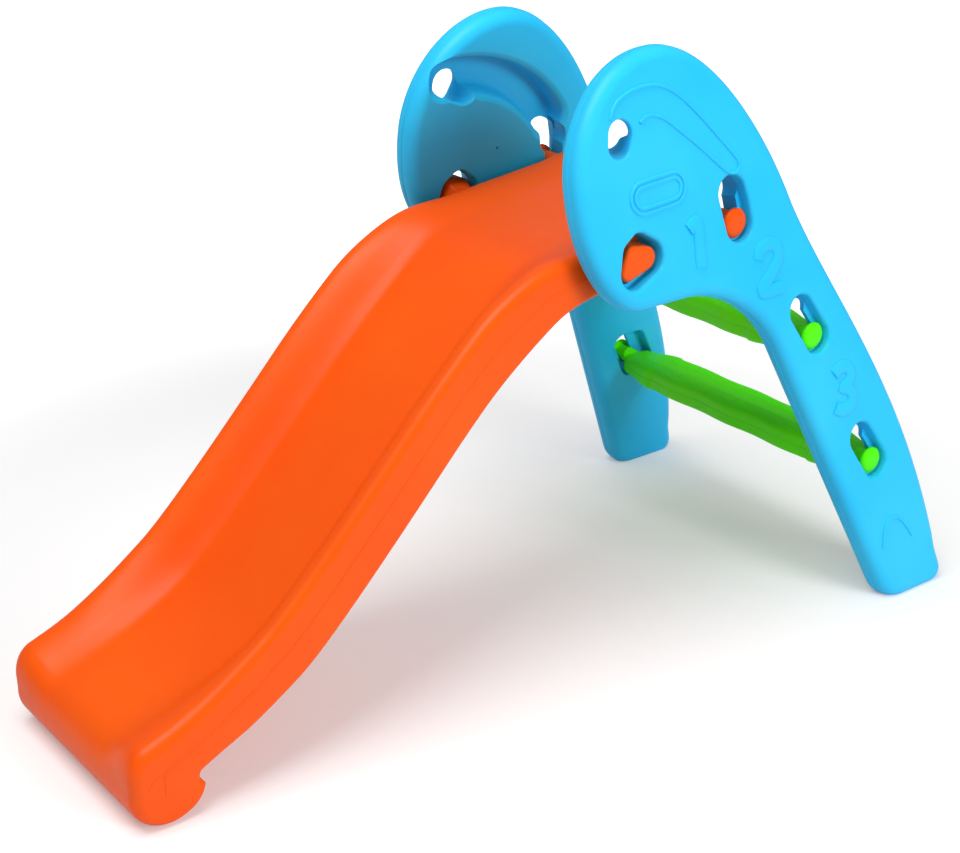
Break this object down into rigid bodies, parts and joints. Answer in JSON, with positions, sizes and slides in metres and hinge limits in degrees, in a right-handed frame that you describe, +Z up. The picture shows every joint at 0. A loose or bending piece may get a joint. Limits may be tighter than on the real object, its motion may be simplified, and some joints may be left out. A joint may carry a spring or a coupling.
{
  "type": "toddler's indoor slide",
  "caption": "Toddler's slide with an orange moulded chute, two sky-blue side panels and green climbing steps that hook together on moulded knobs.",
  "frame": {"origin": "on the floor, in the middle of the length and of the width", "axes": "+X from the chute's foot to the ladder, +Y from the left panel to the right panel, +Z up"},
  "size_m": [1.0858, 0.5444, 0.7141],
  "materials": {
    "sky_blue_plastic": "satin moulded HDPE",
    "orange_plastic": "satin moulded HDPE",
    "lime_green_plastic": "satin moulded HDPE"
  },
  "bodies": {
    "side_panels": {"left_side_panel": "sky_blue_plastic", "right_side_panel": "sky_blue_plastic"},
    "chute": {"chute": "orange_plastic"},
    "upper_step": {"upper_step": "lime_green_plastic"},
    "lower_step": {"lower_step": "lime_green_plastic"}
  },
  "joints": [
    {"name": "chute_swing", "type": "hinge", "parent": "side_panels", "child": "chute", "pos_m": [0.0781, 0, 0.495], "axis": [0, -1, 0], "range_deg": [0, 14]},
    {"name": "upper_step_lift", "type": "slide", "parent": "side_panels", "child": "upper_step", "axis": [-0.5287, 0, 0.8488], "range_m": [0, 0.038]},
    {"name": "lower_step_lift", "type": "slide", "parent": "side_panels", "child": "lower_step", "axis": [-0.5287, 0, 0.8488], "range_m": [0, 0.038]}
  ]
}
